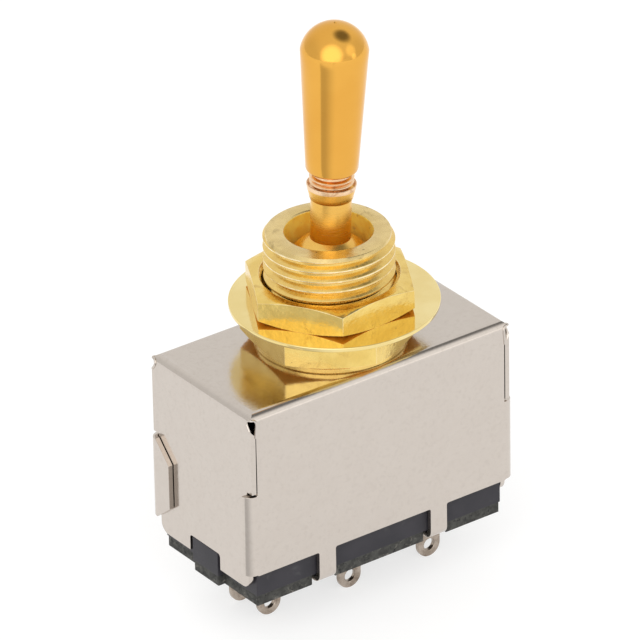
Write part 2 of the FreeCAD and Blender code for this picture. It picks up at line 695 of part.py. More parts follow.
# Moulded base: a tray with walls that guide the slider and hold the detent springs
def make_base():
    body = new_body("base")
    plan = Outline(body, "XY_Plane", "base_plan", {"z": BOARD_TOP})
    tongued_plan(plan, "0")
    feature(body, "Pad", "base_skirt", plan, "dim.base_show")
    upper = Outline(body, "XY_Plane", "base_upper_plan", {"z": BOARD_TOP})
    upper.box("-" + BASE_X, "-" + BASE_Y, BASE_X, BASE_Y)
    feature(body, "Pad", "base_block", upper, "%s - %s" % (WALL_TOP, BOARD_TOP))
    tray = Outline(body, "XY_Plane", "tray_plan", {"z": WALL_TOP})
    tray.box("-" + TRAY_X, "-" + TRAY_Y, TRAY_X, TRAY_Y)
    feature(body, "Pocket", "tray", tray, "%s - %s" % (WALL_TOP, SLIDER_LOW))
    well_y = "(%s - dim.ledge_width)" % TRAY_Y
    well = Outline(body, "XY_Plane", "well_plan", {"z": SLIDER_LOW})
    well.box("-" + TRAY_X, "-" + well_y, TRAY_X, well_y)
    feature(body, "Pocket", "well", well, "%s - %s" % (SLIDER_LOW, FLOOR))
    terminal_slots(body, "base_slots", BOARD_TOP, FLOOR)

    land = Outline(body, "XY_Plane", "land_plan", {"z": BOARD_TOP})
    land_in = "(dim.box_width / 2 - dim.leg_bend - dim.leg_fold)"
    land.box("-dim.leg_pitch / 2 - dim.leg_width / 2", "-dim.box_width / 2 + dim.leg_bend",
             "-dim.leg_pitch / 2 + dim.leg_width / 2", "-" + land_in)
    pad = feature(body, "Pad", "land", land, "dim.land_height", reverse=True)
    slot_height = "(dim.detent_gauge + dim.detent_end_play)"
    ledge = Outline(body, "XY_Plane", "detent_slot_plan", {"z": "%s + %s" % (DETENT_REST, slot_height)})
    half_slot = "(dim.detent_width / 2 + dim.slot_play)"
    ledge.box("-%s - dim.detent_end" % TRAY_X, "-dim.detent_row - %s" % half_slot,
              "-%s + %s" % (TRAY_X, PAST), "-dim.detent_row + %s" % half_slot)
    slot = feature(body, "Pocket", "detent_slot", ledge, slot_height)
    in_four_corners(body, "base_corners", [pad, slot])
    return body


# Fibre board under the base
def make_fibre_board():
    body = new_body("fibre_board")
    plan = Outline(body, "XY_Plane", "board_plan", {"z": "dim.lug_reach"})
    tongued_plan(plan, "dim.board_inset")
    feature(body, "Pad", "board_blank", plan, "dim.board_gauge")
    terminal_slots(body, "board_slots", "dim.lug_reach", BOARD_TOP)
    notch = Outline(body, "XY_Plane", "board_notch_plan", {"z": BOARD_TOP})
    half = "(dim.leg_width / 2 + dim.board_notch_play)"
    inner = "(dim.box_width / 2 - dim.leg_bend - dim.leg_fold - dim.board_notch_play)"
    notch.box("-dim.leg_pitch / 2 - " + half, "-%s - %s" % (BASE_Y, PAST),
              "-dim.leg_pitch / 2 + " + half, "-" + inner)
    cut = feature(body, "Pocket", "board_notch", notch, "dim.board_gauge")
    in_four_corners(body, "board_corners", [cut])
    return body


# Solder terminals: an eye below, a contact pad folded over on the base's floor
def make_terminal(label, column, row, low):
    body = new_body(label)
    x = "(%d * %s)" % (column, LUG_PITCH)
    half = "(dim.lug_width / 2)"
    left, right = "%s - %s" % (x, half), "%s + %s" % (x, half)
    lug = Outline(body, "XZ_Plane", label + "_outline", {"z": "%d * dim.lug_row" % -row})
    eye = "%s + %s" % (low, half)
    lug.loop([(left, eye, half, 1), (x, low, half, 1), (right, eye), (right, PAD_TOP), (left, PAD_TOP)])
    lug.circle(x, eye, "dim.eye_radius")
    feature(body, "Pad", label + "_lug", lug, "dim.lug_gauge", both_ways=True)
    inward = "dim.pad_inward * %d" % abs(column)
    pad_left = "%s - %s" % (left, inward if column > 0 else "0")
    pad_right = "%s + %s" % (right, inward if column < 0 else "0")
    face = "(dim.lug_row - dim.lug_gauge / 2)"
    tip = "(%s + dim.pad_reach)" % face
    pad = Outline(body, "XY_Plane", label + "_pad_plan", {"z": FLOOR})
    if row > 0:
        pad.box(pad_left, face, pad_right, tip)
    else:
        pad.box(pad_left, "-" + tip, pad_right, "-" + face)
    folded = feature(body, "Pad", label + "_pad", pad, "dim.lug_gauge")
    high, back = value(PAD_TOP), value("%d * %s" % (row, face))
    rounded(body, label + "_bend", folded, edges_where(folded.Shape, lambda b: (
        near(b.ZMin, high) and near(b.ZMax, high) and near(b.YMin, back) and near(b.YMax, back))),
        "dim.lug_bend")
    return body


# Nylon slider: grooves below for the bridges, a socket for the lever, notches for the detent
def make_slider():
    body = new_body("slider")
    half_y = "(%s - dim.slider_play)" % TRAY_Y
    plan = Outline(body, "XY_Plane", "slider_plan", {"z": SLIDER_LOW})
    plan.box("-" + SLIDER_X, "-" + half_y, SLIDER_X, half_y)
    feature(body, "Pad", "slider_block", plan, "dim.slider_height")
    boss = Outline(body, "XY_Plane", "boss_plan", {"z": SLIDER_TOP})
    boss.box("-dim.boss_length / 2 - " + LEAN_SHIFT, "-dim.boss_width / 2",
             "dim.boss_length / 2 - " + LEAN_SHIFT, "dim.boss_width / 2")
    feature(body, "Pad", "boss", boss, "dim.boss_height")
    socket = Outline(body, "XY_Plane", "socket_plan",
                     {"x": "-" + LEAN_SHIFT, "z": SLIDER_TOP + " + dim.boss_height"})
    wide = "(dim.tip_ball_radius + dim.socket_play)"
    flat = "(dim.socket_width / 2 - %s)" % wide
    end = "(%s + %s)" % (flat, wide)
    socket.loop([("-" + wide, "-" + flat, wide, 1), ("0", "-" + end, wide, 1), (wide, "-" + flat),
                 (wide, flat, wide, 1), ("0", end, wide, 1), ("-" + wide, flat)])
    socket_low = "(%s - dim.tip_ball_radius - dim.socket_floor)" % TIP_BALL
    feature(body, "Pocket", "socket", socket, "%s + dim.boss_height - %s" % (SLIDER_TOP, socket_low))
    for tag, side in (("front", "-1"), ("rear", "1")):
        row = "%s * %s" % (side, BRIDGE_ROW)
        groove_x = "(%s + dim.bridge_play)" % BRIDGE_X
        groove_y = "(dim.bridge_width / 2 + dim.bridge_play)"
        groove = Outline(body, "XY_Plane", tag + "_groove_plan", {"z": SLIDER_LOW})
        groove.box("-" + groove_x, "%s - %s" % (row, groove_y), groove_x, "%s + %s" % (row, groove_y))
        feature(body, "Pocket", tag + "_groove", groove, "%s - %s" % (GROOVE_TOP, SLIDER_LOW),
                reverse=True)
        notch = Outline(body, "XZ_Plane", tag + "_notch_outline", {"z": "-1 * %s * dim.detent_row" % side})
        low = "%s - dim.detent_depth - dim.detent_gauge" % SLIDER_TOP
        for step in ("-1", "0", "1"):
            x = "%s * dim.detent_step" % step
            notch.loop([("%s - dim.detent_half" % x, SLIDER_TOP), (x, low),
                        ("%s + dim.detent_half" % x, SLIDER_TOP)])
        feature(body, "Pocket", tag + "_notch", notch, "dim.detent_width + 2 * dim.detent_side_play",
                both_ways=True)
    return body


# Bridging contact: a flat strip with ramped ends
def make_bridge(label, side):
    body = new_body(label)
    strip = Outline(body, "XZ_Plane", label + "_outline", {"z": "%d * %s" % (-side, BRIDGE_ROW)})
    half, ramp = BRIDGE_X, "dim.bridge_ramp"
    lift = "dim.bridge_gauge / 2"
    strip.loop([
        ("-%s + %s" % (half, ramp), PAD_TOP), ("%s - %s" % (half, ramp), PAD_TOP),
        (half, "%s + %s" % (PAD_TOP, lift)), (half, BRIDGE_TOP),
        ("-" + half, BRIDGE_TOP), ("-" + half, "%s + %s" % (PAD_TOP, lift)),
    ])
    feature(body, "Pad", label + "_strip", strip, "dim.bridge_width", both_ways=True)
    return body


# Bowed leaf between a bridge and the slider
def make_contact_spring(label, side):
    body = new_body(label)
    bow = Outline(body, "XZ_Plane", label + "_outline", {"z": "%d * %s" % (-side, BRIDGE_ROW)})
    half, gauge = "(dim.bow_length / 2)", "dim.bow_gauge"
    rise = "(dim.bridge_gap - %s)" % gauge
    inner = "((%s ^ 2 + %s ^ 2) / (2 * %s))" % (half, rise, rise)
    outer = "(%s + %s)" % (inner, gauge)
    crown = "(%s + dim.bridge_gap)" % BRIDGE_TOP
    edge_z = "%s - %s + sqrt(%s ^ 2 - %s ^ 2)" % (crown, outer, outer, half)
    bow.loop([("-" + half, BRIDGE_TOP, inner, -1), (half, BRIDGE_TOP),
              (half, edge_z, outer, 1), ("0", crown, outer, 1), ("-" + half, edge_z)])
    feature(body, "Pad", label + "_leaf", bow, "dim.bow_width", both_ways=True)
    return body


# Leaf spring with a bend that drops into the slider's notches
def make_detent_spring(label, side):
    body = new_body(label)
    leaf = Outline(body, "XZ_Plane", label + "_outline", {"z": "%d * dim.detent_row" % -side})
    end = "(%s + dim.detent_end - dim.detent_end_play)" % TRAY_X
    knee = "(%s - dim.detent_foot)" % TRAY_X
    hip = "(%s + dim.detent_lift)" % SLIDER_TOP
    low = "(%s - dim.detent_depth)" % SLIDER_TOP
    gauge = "dim.detent_gauge"
    half = "dim.detent_half"
    under = [("-" + end, DETENT_REST), ("-" + knee, DETENT_REST), ("-" + half, hip), ("0", low),
             (half, hip), (knee, DETENT_REST), (end, DETENT_REST)]
    over = [(x, "%s + %s" % (z, gauge)) for x, z in reversed(under)]
    leaf.loop(under + over)
    feature(body, "Pad", label + "_leaf", leaf, "dim.detent_width", both_ways=True)
    return body


bodies = [
    make_cover(),
    make_bushing(),
    make_nut("lower_nut", FLANGE_TOP, "dim.lower_nut_height", "dim.lower_nut_turn"),
    make_washer(),
    make_nut("upper_nut", WASHER_TOP, "dim.upper_nut_height", "dim.upper_nut_turn"),
    make_lever(),
    make_lever_tip(),
    make_ball_seat(),
    make_base(),
    make_fibre_board(),
    make_slider(),
]
for tag, side in (("front", -1), ("rear", 1)):
    for place, column in (("left", -1), ("centre", 0), ("right", 1)):
        low = "dim.short_lug" if (tag, place) == ("front", "left") else "0"
        bodies.append(make_terminal("terminal_%s_%s" % (tag, place), column, side, low))
    bodies.append(make_bridge(tag + "_bridge", side))
    bodies.append(make_contact_spring(tag + "_contact_spring", side))
    bodies.append(make_detent_spring(tag + "_detent_spring", side))
doc.recompute()

# Nothing is written unless every object is sound
for item in doc.Objects:
    if "Invalid" in item.State or "Error" in item.State:
        raise RuntimeError("%s is %s" % (item.Name, item.State))
for body in bodies:
    shape = body.Shape
    if shape.isNull() or not shape.isValid() or len(shape.Solids) != 1:
        raise RuntimeError("%s has no sound solid" % body.Label)
for body in bodies:
    body.Shape.exportStep("parts/%s.step" % body.Label)
    print("%s: %.2f cubic mm" % (body.Label, body.Shape.Volume))
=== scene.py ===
import json
import math

import bmesh
import bpy
from mathutils import Matrix, Vector


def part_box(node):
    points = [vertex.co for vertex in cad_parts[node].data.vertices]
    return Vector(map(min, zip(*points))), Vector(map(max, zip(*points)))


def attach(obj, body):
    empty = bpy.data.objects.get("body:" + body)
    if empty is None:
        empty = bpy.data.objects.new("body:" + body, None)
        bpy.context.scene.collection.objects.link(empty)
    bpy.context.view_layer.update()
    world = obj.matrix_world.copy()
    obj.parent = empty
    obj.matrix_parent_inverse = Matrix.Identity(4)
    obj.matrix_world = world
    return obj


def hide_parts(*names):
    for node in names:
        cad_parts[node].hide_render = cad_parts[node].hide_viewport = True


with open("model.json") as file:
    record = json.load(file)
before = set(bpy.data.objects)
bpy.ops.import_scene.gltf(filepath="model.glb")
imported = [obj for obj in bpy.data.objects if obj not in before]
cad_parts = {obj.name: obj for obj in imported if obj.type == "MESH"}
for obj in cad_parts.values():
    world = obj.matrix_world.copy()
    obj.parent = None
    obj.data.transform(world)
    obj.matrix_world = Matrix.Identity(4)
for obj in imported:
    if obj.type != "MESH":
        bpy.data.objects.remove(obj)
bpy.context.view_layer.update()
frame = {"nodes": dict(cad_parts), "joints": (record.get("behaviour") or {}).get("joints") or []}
mm = 0.001
leverLean = 2.6  # degrees from upright, about +Y


def boxOf(node):
    return [[round(value / mm, 3) for value in corner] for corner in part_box(node)]


print("frame loaded with", len(frame["nodes"]), "nodes")

# Camera

cameraView = {
    "place": (-347.40, -477.39, 350.26),  # mm
    "azimuth": -35.953,
    "elevation": 28.706,
    "roll": -1.121,
    "lens": 419.86,
    "sensor": 36,
    "clip": (0.01, 10),  # m
}


def makeCamera(view):
    cameraData = bpy.data.cameras.new("photoCamera")
    cameraData.lens = view["lens"]
    cameraData.sensor_width = view["sensor"]
    cameraData.clip_start, cameraData.clip_end = view["clip"]
    camera = bpy.data.objects.new("photoCamera", cameraData)
    bpy.context.scene.collection.objects.link(camera)
    camera.matrix_world = Matrix.Translation(Vector(view["place"]) * mm)
    for angle, axis in ((view["azimuth"], "Z"), (90 - view["elevation"], "X"), (view["roll"], "Z")):
        camera.matrix_world = camera.matrix_world @ Matrix.Rotation(math.radians(angle), 4, axis)
    bpy.context.scene.camera = camera


makeCamera(cameraView)

# Materials


def startMaterial(name, settings):
    material = bpy.data.materials.new(name)
    material.use_nodes = True
    nodes = material.node_tree.nodes
    shader = nodes["Principled BSDF"]
    shader.inputs["Metallic"].default_value = settings.get("metallic", 1.0)
    shader.inputs["Roughness"].default_value = settings["roughness"][0]
    shader.inputs["Specular IOR Level"].default_value = settings.get("specular", 0.5)
    return material, nodes, material.node_tree.links, shader


noiseShapes = {  # detail, roughness and distortion
    "cloud": (3.0, 0.55, 0.0),
    "stain": (5.0, 0.62, 0.6),
    "speck": (2.0, 0.6, 0.0),
    "grain": (3.0, 0.6, 0.0),
    "wave": (2.0, 0.55, 0.0),
}
finishSpans = {
    "cloud": (0.35, 0.65),
    "grain": (0.3, 0.7),
    "stain": 0.16,  # how far a stain takes to reach its full colour
    "speck": 0.04,
    "grainDepth": 0.00002,  # m
    "waveDepth": 0.0001,
}


def noiseNode(nodes, links, vector, kind, settings):
    noise = nodes.new("ShaderNodeTexNoise")
    noise.inputs["Scale"].default_value = settings[kind + "Scale"]
    for socket, value in zip(("Detail", "Roughness", "Distortion"), noiseShapes[kind]):
        noise.inputs[socket].default_value = value
    links.new(vector, noise.inputs["Vector"])
    return noise.outputs["Fac"]


def rangeNode(nodes, links, value, fromLow, fromHigh, toLow, toHigh):
    span = nodes.new("ShaderNodeMapRange")
    span.interpolation_type = "SMOOTHSTEP"
    limits = (fromLow, fromHigh, toLow, toHigh)
    for socket, limit in zip(("From Min", "From Max", "To Min", "To Max"), limits):
        span.inputs[socket].default_value = limit
    links.new(value, span.inputs["Value"])
    return span.outputs["Result"]


def mixColour(nodes, links, factor, first, second):
    mix = nodes.new("ShaderNodeMix")
    mix.data_type = "RGBA"
    links.new(factor, mix.inputs["Factor"])
    for socket, source in (("A", first), ("B", second)):
        target = [item for item in mix.inputs if item.name == socket and item.type == "RGBA"][0]
        if isinstance(source, tuple):
            target.default_value = (*source, 1)
        else:
            links.new(source, target)
    return [item for item in mix.outputs if item.type == "RGBA"][0]


def objectVector(nodes, links, stretch=(1, 1, 1), lean=0.0):
    vector = nodes.new("ShaderNodeTexCoord").outputs["Object"]
    for socket, value in (("Rotation", (0, math.radians(-lean), 0)), ("Scale", stretch)):
        mapping = nodes.new("ShaderNodeMapping")
        mapping.inputs[socket].default_value = value
        links.new(vector, mapping.inputs["Vector"])
        vector = mapping.outputs["Vector"]
    return vector


def bumpNode(nodes, links, height, strength, distance, before=None):
    bump = nodes.new("ShaderNodeBump")
    bump.inputs["Strength"].default_value = strength
    bump.inputs["Distance"].default_value = distance
    links.new(height, bump.inputs["Height"])
    if before is not None:
        links.new(before, bump.inputs["Normal"])
    return bump.outputs["Normal"]


def makeFinish(name, settings):
    material, nodes, links, shader = startMaterial(name, settings)
    vector = objectVector(nodes, links, settings.get("stretch", (1, 1, 1)), settings.get("lean", 0.0))
    plain = objectVector(nodes, links)
    cloud = noiseNode(nodes, links, plain, "cloud", settings)
    clouds = rangeNode(nodes, links, cloud, *finishSpans["cloud"], 0, 1)
    colour = mixColour(nodes, links, clouds, settings["colour"], settings["cloudColour"])
    stain = noiseNode(nodes, links, plain, "stain", settings)
    stainFrom, speckFrom = settings["stainFrom"], settings["speckFrom"]
    stains = rangeNode(nodes, links, stain, stainFrom, stainFrom + finishSpans["stain"], 0,
                       settings["stainAmount"])
    colour = mixColour(nodes, links, stains, colour, settings["stainColour"])
    speck = noiseNode(nodes, links, plain, "speck", settings)
    specks = rangeNode(nodes, links, speck, speckFrom, speckFrom + finishSpans["speck"], 0, 1)
    colour = mixColour(nodes, links, specks, colour, settings["speckColour"])
    links.new(colour, shader.inputs["Base Color"])
    grain = noiseNode(nodes, links, vector, "grain", settings)
    rough = rangeNode(nodes, links, grain, *finishSpans["grain"], *settings["roughness"])
    dulled = nodes.new("ShaderNodeMath")
    dulled.operation = "MULTIPLY_ADD"
    dulled.inputs[1].default_value = settings["stainRoughness"]
    links.new(stains, dulled.inputs[0])
    links.new(rough, dulled.inputs[2])
    links.new(dulled.outputs["Value"], shader.inputs["Roughness"])
    normal = bumpNode(nodes, links, grain, settings["grainBump"], finishSpans["grainDepth"])
    wave = noiseNode(nodes, links, plain, "wave", settings)
    normal = bumpNode(nodes, links, wave, settings["waveBump"], finishSpans["waveDepth"], normal)
    links.new(normal, shader.inputs["Normal"])
    return material


nickelSettings = {
    "colour": (0.600, 0.545, 0.496), "cloudColour": (0.592, 0.536, 0.487), "cloudScale": 700,
    "stainColour": (0.50, 0.445, 0.395), "stainScale": 2400, "stainFrom": 0.50, "stainAmount": 0.24,
    "stainRoughness": 0.04, "speckColour": (0.10, 0.09, 0.08), "speckScale": 1300, "speckFrom": 0.79,
    "roughness": (0.12, 0.19), "grainScale": 4200, "grainBump": 0.22, "waveScale": 420, "waveBump": 0.03,
}
nickelPlate = makeFinish("nickelPlate", nickelSettings)

goldSettings = {
    "colour": (0.87, 0.65, 0.21), "cloudColour": (0.79, 0.56, 0.16), "cloudScale": 420,
    "stainColour": (0.50, 0.31, 0.09), "stainScale": 520, "stainFrom": 0.55, "stainAmount": 0.5,
    "stainRoughness": 0.16, "speckColour": (0.16, 0.09, 0.03), "speckScale": 1900, "speckFrom": 0.75,
    "roughness": (0.15, 0.27), "grainScale": 3600, "grainBump": 0.35, "waveScale": 1700, "waveBump": 0.28,
}
goldPlate = makeFinish("goldPlate", goldSettings)

# painted light: a brighter, less metallic gold that lights up the nuts' dark undersides
paintedLightSettings = {
    "metallic": 0.35,
    "colour": (1.0, 0.56, 0.12), "cloudColour": (0.90, 0.45, 0.08), "cloudScale": 700,
    "stainColour": (0.60, 0.28, 0.05), "stainScale": 700, "stainFrom": 0.58, "stainAmount": 0.5,
    "stainRoughness": 0.1, "speckColour": (0.16, 0.09, 0.03), "speckScale": 1900, "speckFrom": 0.76,
    "roughness": (0.45, 0.60), "grainScale": 3000, "grainBump": 0.3, "waveScale": 900, "waveBump": 0.2,
}
paintedLightGold = makeFinish("paintedLightGold", paintedLightSettings)

leverSkin = {
    "colour": (0.86, 0.53, 0.13), "cloudColour": (0.82, 0.48, 0.11), "cloudScale": 400,
    "stainColour": (0.60, 0.33, 0.10), "stainScale": 600, "stainFrom": 0.60, "stainAmount": 0.4,
    "stainRoughness": 0.10, "speckColour": (0.16, 0.09, 0.03), "speckScale": 1900, "speckFrom": 0.78,
    "roughness": (0.20, 0.29), "grainScale": 1400, "grainBump": 0.05, "waveScale": 500, "waveBump": 0.03,
    "stretch": (0.3, 0.3, 8), "lean": leverLean,
}
leverGold = makeFinish("leverGold", leverSkin)

neckSettings = {
    "colour": (0.92, 0.67, 0.44), "cloudColour": (0.84, 0.56, 0.33), "cloudScale": 800,
    "stainColour": (0.40, 0.19, 0.08), "stainScale": 900, "stainFrom": 0.56, "stainAmount": 0.6,
    "stainRoughness": 0.14, "speckColour": (0.14, 0.07, 0.03), "speckScale": 2400, "speckFrom": 0.74,
    "roughness": (0.18, 0.30), "grainScale": 1400, "grainBump": 0.18, "waveScale": 900, "waveBump": 0.10,
    "stretch": (0.3, 0.3, 8), "lean": leverLean,
}
neckCopper = makeFinish("neckCopper", neckSettings)

rimSettings = {
    "colour": (0.78, 0.60, 0.27), "cloudColour": (0.68, 0.51, 0.22), "cloudScale": 600,
    "stainColour": (0.36, 0.26, 0.11), "stainScale": 700, "stainFrom": 0.58, "stainAmount": 0.6,
    "stainRoughness": 0.2, "speckColour": (0.14, 0.10, 0.04), "speckScale": 1900, "speckFrom": 0.74,
    "roughness": (0.20, 0.32), "grainScale": 3000, "grainBump": 0.10, "waveScale": 1100, "waveBump": 0.16,
}
rimGold = makeFinish("rimGold", rimSettings)

paleGoldSettings = {
    "colour": (0.86, 0.61, 0.19), "cloudColour": (0.78, 0.54, 0.17), "cloudScale": 700,
    "stainColour": (0.46, 0.32, 0.11), "stainScale": 800, "stainFrom": 0.60, "stainAmount": 0.6,
    "stainRoughness": 0.2, "speckColour": (0.14, 0.10, 0.04), "speckScale": 1900, "speckFrom": 0.74,
    "roughness": (0.16, 0.30), "grainScale": 4000, "grainBump": 0.25, "waveScale": 900, "waveBump": 0.2,
}
paleGold = makeFinish("paleGold", paleGoldSettings)

# Nut edges: rubbed plating with a painted highlight, paler than the faces
edgeSettings = {
    "colour": (0.97, 0.85, 0.52), "cloudColour": (0.86, 0.66, 0.30), "cloudScale": 700,
    "stainColour": (0.50, 0.34, 0.12), "stainScale": 700, "stainFrom": 0.58, "stainAmount": 0.6,
    "stainRoughness": 0.16, "speckColour": (0.16, 0.10, 0.04), "speckScale": 1900, "speckFrom": 0.76,
    "roughness": (0.18, 0.30), "grainScale": 3600, "grainBump": 0.22, "waveScale": 700, "waveBump": 0.14,
}
wearAndHighlightEdge = makeFinish("wearAndHighlightEdge", edgeSettings)

crestSettings = {
    "colour": (0.96, 0.84, 0.55), "cloudColour": (0.80, 0.62, 0.30), "cloudScale": 1100,
    "stainColour": (0.50, 0.36, 0.15), "stainScale": 1200, "stainFrom": 0.60, "stainAmount": 0.7,
    "stainRoughness": 0.2, "speckColour": (0.14, 0.10, 0.04), "speckScale": 2300, "speckFrom": 0.76,
    "roughness": (0.16, 0.30), "grainScale": 4000, "grainBump": 0.3, "waveScale": 900, "waveBump": 0.2,
}
wornCrest = makeFinish("wornCrest", crestSettings)

# Rough bore wall with painted light: brighter and less metallic than the plating, so the throat looks lit
paintedLightThroatSettings = {
    "metallic": 0.45,
    "colour": (1.0, 0.80, 0.17), "cloudColour": (0.95, 0.66, 0.10), "cloudScale": 900,
    "stainColour": (0.52, 0.32, 0.09), "stainScale": 1100, "stainFrom": 0.58, "stainAmount": 0.7,
    "stainRoughness": 0.1, "speckColour": (0.14, 0.09, 0.03), "speckScale": 2300, "speckFrom": 0.72,
    "roughness": (0.34, 0.56), "grainScale": 2600, "grainBump": 0.9, "waveScale": 1000, "waveBump": 1.0,
}
paintedLightThroat = makeFinish("paintedLightThroat", paintedLightThroatSettings)

knobSettings = {
    "colour": (0.80, 0.42, 0.078), "cloudColour": (0.76, 0.385, 0.068), "cloudScale": 120,
    "stainColour": (0.58, 0.27, 0.05), "stainScale": 500, "stainFrom": 0.62, "stainAmount": 0.4,
    "stainRoughness": 0.08, "speckColour": (0.35, 0.16, 0.03), "speckScale": 2600, "speckFrom": 0.78,
    "roughness": (0.09, 0.15), "grainScale": 900, "grainBump": 0.12, "waveScale": 150, "waveBump": 0.03,
    "stretch": (0.3, 0.3, 12), "lean": leverLean,
}
knobGold = makeFinish("knobGold", knobSettings)

washerSettings = {
    "colour": (0.88, 0.73, 0.35), "cloudColour": (0.83, 0.66, 0.28), "cloudScale": 200,
    "stainColour": (0.58, 0.40, 0.14), "stainScale": 380, "stainFrom": 0.60, "stainAmount": 0.5,
    "stainRoughness": 0.10, "speckColour": (0.10, 0.07, 0.04), "speckScale": 1900, "speckFrom": 0.76,
    "roughness": (0.07, 0.13), "grainScale": 3000, "grainBump": 0.05, "waveScale": 250, "waveBump": 0.04,
}
washerGold = makeFinish("washerGold", washerSettings)

baseSettings = {
    "metallic": 0.0, "specular": 0.25,
    "colour": (0.030, 0.028, 0.034), "cloudColour": (0.023, 0.022, 0.027), "cloudScale": 260,
    "stainColour": (0.06, 0.06, 0.062), "stainScale": 700, "stainFrom": 0.58, "stainAmount": 0.5,
    "stainRoughness": 0.1, "speckColour": (0.09, 0.09, 0.09), "speckScale": 5000, "speckFrom": 0.72,
    "roughness": (0.36, 0.48), "grainScale": 9000, "grainBump": 0.1, "waveScale": 400, "waveBump": 0.05,
}
darkMoulding = makeFinish("darkMoulding", baseSettings)

boardSettings = {
    "metallic": 0.0, "specular": 0.3,
    "colour": (0.024, 0.024, 0.022), "cloudColour": (0.050, 0.050, 0.045), "cloudScale": 1400,
    "stainColour": (0.15, 0.142, 0.125), "stainScale": 1700, "stainFrom": 0.55, "stainAmount": 0.8,
    "stainRoughness": 0.1, "speckColour": (0.010, 0.010, 0.010), "speckScale": 2600, "speckFrom": 0.62,
    "roughness": (0.5, 0.75), "grainScale": 4000, "grainBump": 0.5, "waveScale": 1500, "waveBump": 0.4,
}
mottledFibre = makeFinish("mottledFibre", boardSettings)

lugSettings = {
    "colour": (0.46, 0.39, 0.33), "cloudColour": (0.32, 0.26, 0.21), "cloudScale": 900,
    "stainColour": (0.16, 0.11, 0.08), "stainScale": 1100, "stainFrom": 0.55, "stainAmount": 0.7,
    "stainRoughness": 0.16, "speckColour": (0.10, 0.07, 0.05), "speckScale": 2600, "speckFrom": 0.72,
    "roughness": (0.16, 0.30), "grainScale": 6000, "grainBump": 0.15, "waveScale": 900, "waveBump": 0.2,
}
tinnedLug = makeFinish("tinnedLug", lugSettings)

nylonSettings = {
    "metallic": 0.0, "colour": (0.74, 0.71, 0.62), "cloudColour": (0.70, 0.66, 0.56), "cloudScale": 500,
    "stainColour": (0.62, 0.57, 0.46), "stainScale": 900, "stainFrom": 0.60, "stainAmount": 0.5,
    "stainRoughness": 0.1, "speckColour": (0.55, 0.52, 0.44), "speckScale": 4000, "speckFrom": 0.72,
    "roughness": (0.35, 0.5), "grainScale": 6000, "grainBump": 0.1, "waveScale": 500, "waveBump": 0.05,
}
nylon = makeFinish("nylon", nylonSettings)

stripSettings = {
    "colour": (0.72, 0.58, 0.34), "cloudColour": (0.62, 0.48, 0.26), "cloudScale": 600,
    "stainColour": (0.40, 0.28, 0.14), "stainScale": 900, "stainFrom": 0.60, "stainAmount": 0.6,
    "stainRoughness": 0.15, "speckColour": (0.25, 0.18, 0.1), "speckScale": 2600, "speckFrom": 0.76,
    "roughness": (0.2, 0.32), "grainScale": 6000, "grainBump": 0.1, "waveScale": 600, "waveBump": 0.05,
}
contactStrip = makeFinish("contactStrip", stripSettings)

leafSettings = {
    "colour": (0.52, 0.52, 0.50), "cloudColour": (0.45, 0.45, 0.44), "cloudScale": 600,
    "stainColour": (0.30, 0.29, 0.27), "stainScale": 900, "stainFrom": 0.62, "stainAmount": 0.5,
    "stainRoughness": 0.12, "speckColour": (0.2, 0.19, 0.18), "speckScale": 2600, "speckFrom": 0.78,
    "roughness": (0.24, 0.36), "grainScale": 6000, "grainBump": 0.1, "waveScale": 600, "waveBump": 0.05,
    "stretch": (0.2, 3, 3),
}
springLeaf = makeFinish("springLeaf", leafSettings)

print("materials made")

# Mesh tools


mergeGaps = {"turned": 0.0005, "thread": 0.001, "bead": 0.001, "copy": 0.002, "finished": 0.0003}
cutGap = 0.0001
loopGap = 0.002


def turnProfile(profile, steps):
    bm = bmesh.new()
    corners = [bm.verts.new((radius * mm, 0, height * mm)) for radius, height in profile]
    runs = [bm.edges.new(pair) for pair in zip(corners, corners[1:])]
    bmesh.ops.spin(bm, geom=corners + runs, cent=(0, 0, 0), axis=(0, 0, 1), dvec=(0, 0, 0),
                   angle=2 * math.pi, steps=steps, use_merge=True, use_normal_flip=False,
                   use_duplicate=False)
    bmesh.ops.remove_doubles(bm, verts=bm.verts, dist=mergeGaps["turned"] * mm)
    return bm


def softenEdges(bm, width, segments=2, angle=30, only=None, clamp=True):
    edges = [edge for edge in bm.edges
             if edge.is_manifold and edge.calc_face_angle() > math.radians(angle)
             and (only is None or only(edge))]
    made = bmesh.ops.bevel(bm, geom=edges, offset=width * mm, offset_type="OFFSET", segments=segments,
                           profile=0.5, affect="EDGES", clamp_overlap=clamp, material=-1)
    return made["faces"]


def copyOfNode(node):
    bm = bmesh.new()
    bm.from_mesh(frame["nodes"][node].data)
    bmesh.ops.remove_doubles(bm, verts=bm.verts, dist=mergeGaps["copy"] * mm)
    bmesh.ops.dissolve_limit(bm, angle_limit=math.radians(1), use_dissolve_boundaries=False,
                             verts=bm.verts, edges=bm.edges, delimit=set())
    return bm


def addShape(bm, part):
    carrier = bpy.data.meshes.new("carrier")
    part.to_mesh(carrier)
    part.free()
    bm.from_mesh(carrier)
    bpy.data.meshes.remove(carrier)


def raised(outline, height):
    return [(radius, height + rise) for radius, rise in outline]


def arcPoints(radius, centre, fromAngle, toAngle, count):
    angles = [math.radians(fromAngle + (toAngle - fromAngle) * step / count) for step in range(count + 1)]
    return [(radius * math.cos(angle), centre + radius * math.sin(angle)) for angle in angles]


